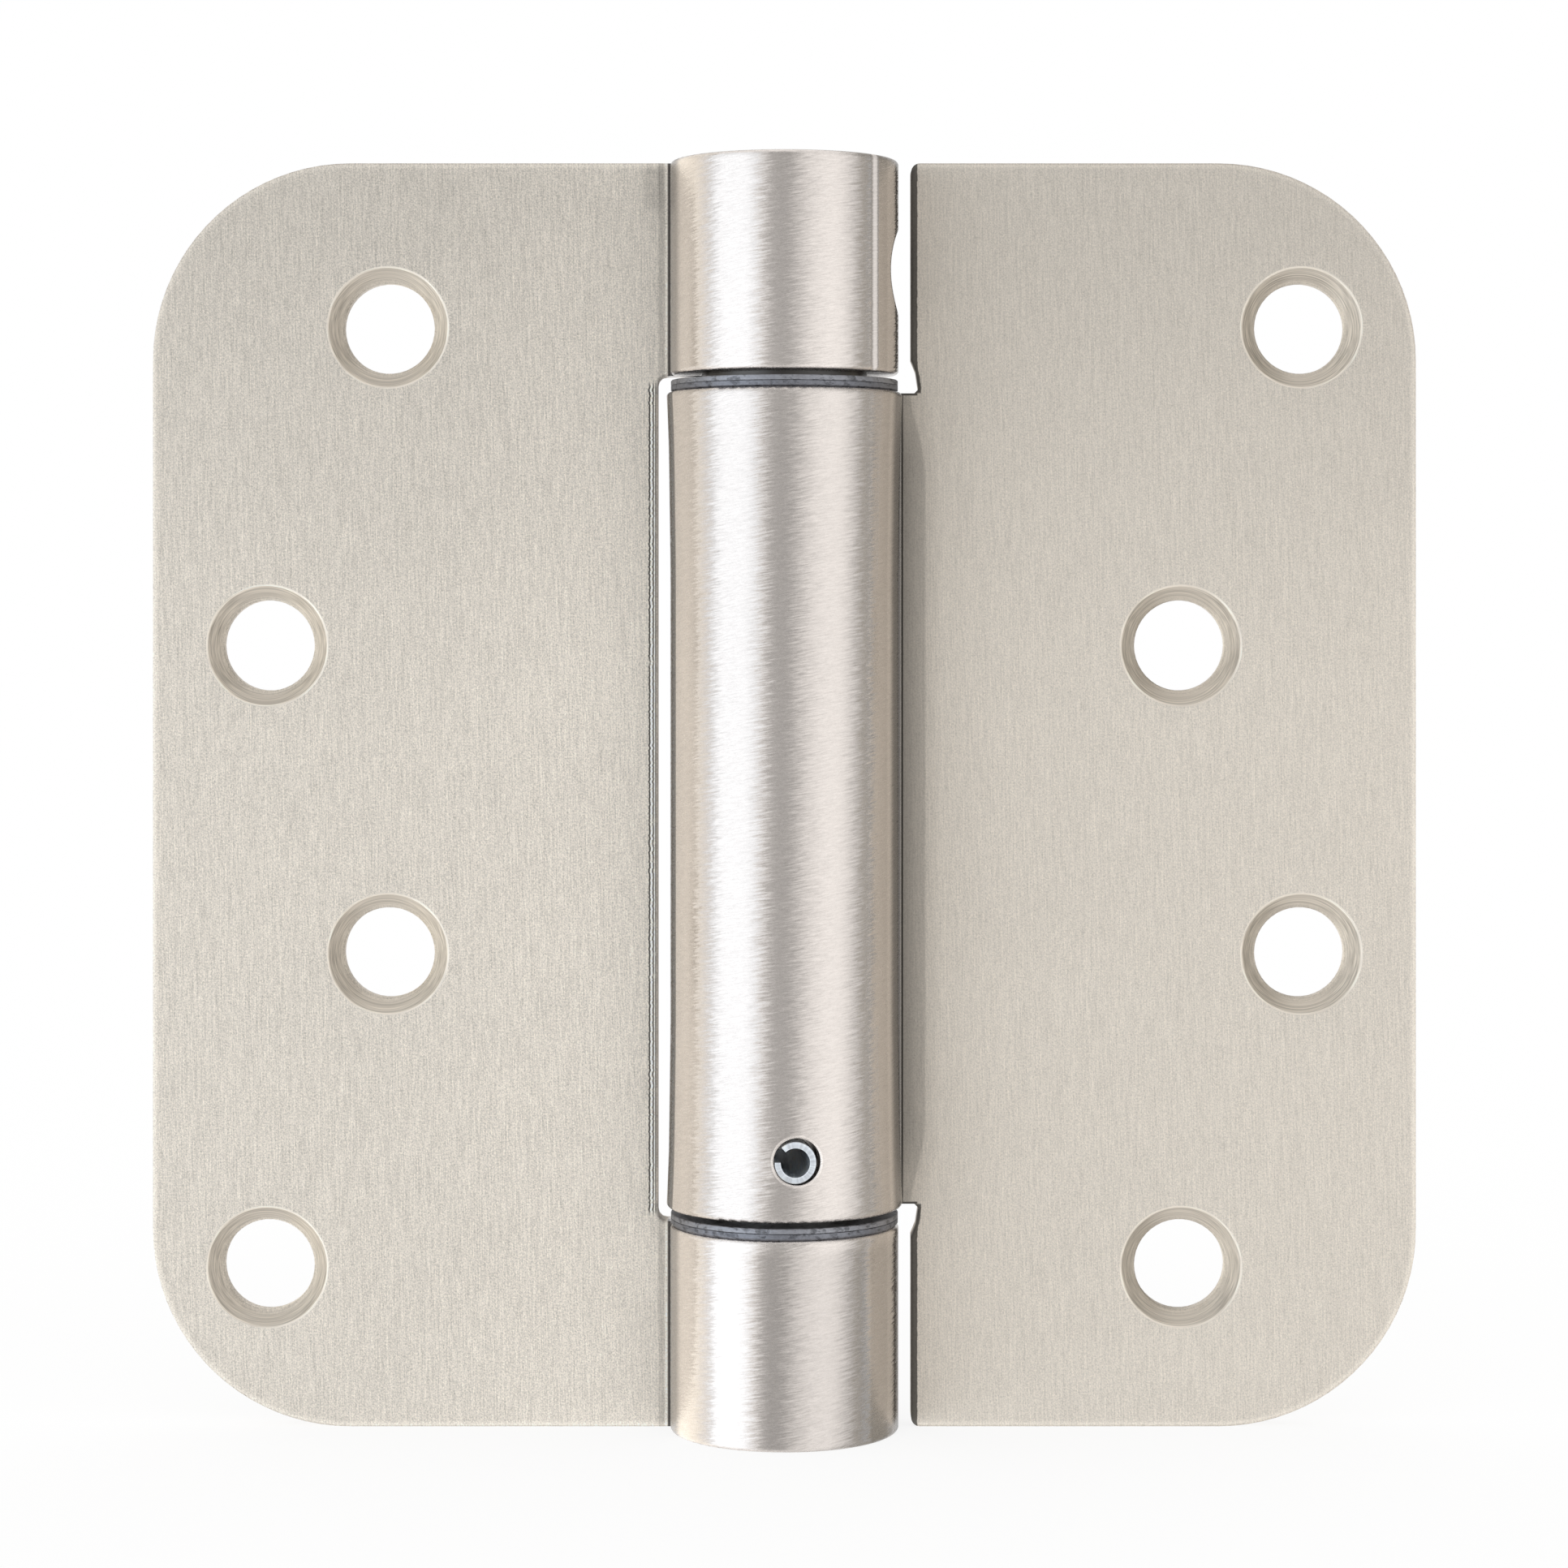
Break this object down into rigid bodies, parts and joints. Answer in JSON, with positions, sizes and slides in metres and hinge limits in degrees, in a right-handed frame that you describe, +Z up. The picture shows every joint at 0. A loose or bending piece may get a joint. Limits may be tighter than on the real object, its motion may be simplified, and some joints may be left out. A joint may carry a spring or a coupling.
{
  "type": "spring loaded door hinge",
  "caption": "Butt hinge with rounded leaf corners, a rolled barrel that holds a torsion spring, a tension collar, dark thrust rings and countersunk holes.",
  "frame": {"origin": "on the barrel's axis, half way up the hinge", "axes": "+Z up along the barrel's axis, +X towards the door leaf, -Y out of the countersunk face, with the leaves flat open"},
  "size_m": [0.1016, 0.0188, 0.1016],
  "materials": {
    "satin_nickel_jamb": "satin nickel plate, brushed along the leaf",
    "satin_nickel_door": "satin nickel plate, brushed along the leaf",
    "dark_bush": "dark grey steel",
    "dark_washer": "dark grey steel",
    "turned_steel": "zinc-plated turned steel",
    "spring_wire": "oiled spring wire",
    "pin_steel": "rolled spring steel"
  },
  "bodies": {
    "jamb_body": {"jamb_leaf": "satin_nickel_jamb", "lower_bush": "dark_bush", "lower_washer": "dark_washer", "bottom_plug": "turned_steel"},
    "door_body": {"door_leaf": "satin_nickel_door", "upper_bush": "dark_bush", "upper_washer": "dark_washer", "spring_anchor": "turned_steel", "roll_pin": "pin_steel", "torsion_spring": "spring_wire"},
    "collar_body": {"tension_collar": "turned_steel"}
  },
  "joints": [
    {"name": "leaf_swing", "type": "hinge", "parent": "jamb_body", "child": "door_body", "pos_m": [0, 0, 0], "axis": [0, 0, -1], "range_deg": [0, 180]},
    {"name": "collar_wind", "type": "hinge", "parent": "door_body", "child": "collar_body", "pos_m": [0, 0, 0], "axis": [0, 0, -1], "range_deg": [0, 270], "stiffness_Nm_per_rad": 0.2, "deforming": ["torsion_spring"]}
  ]
}
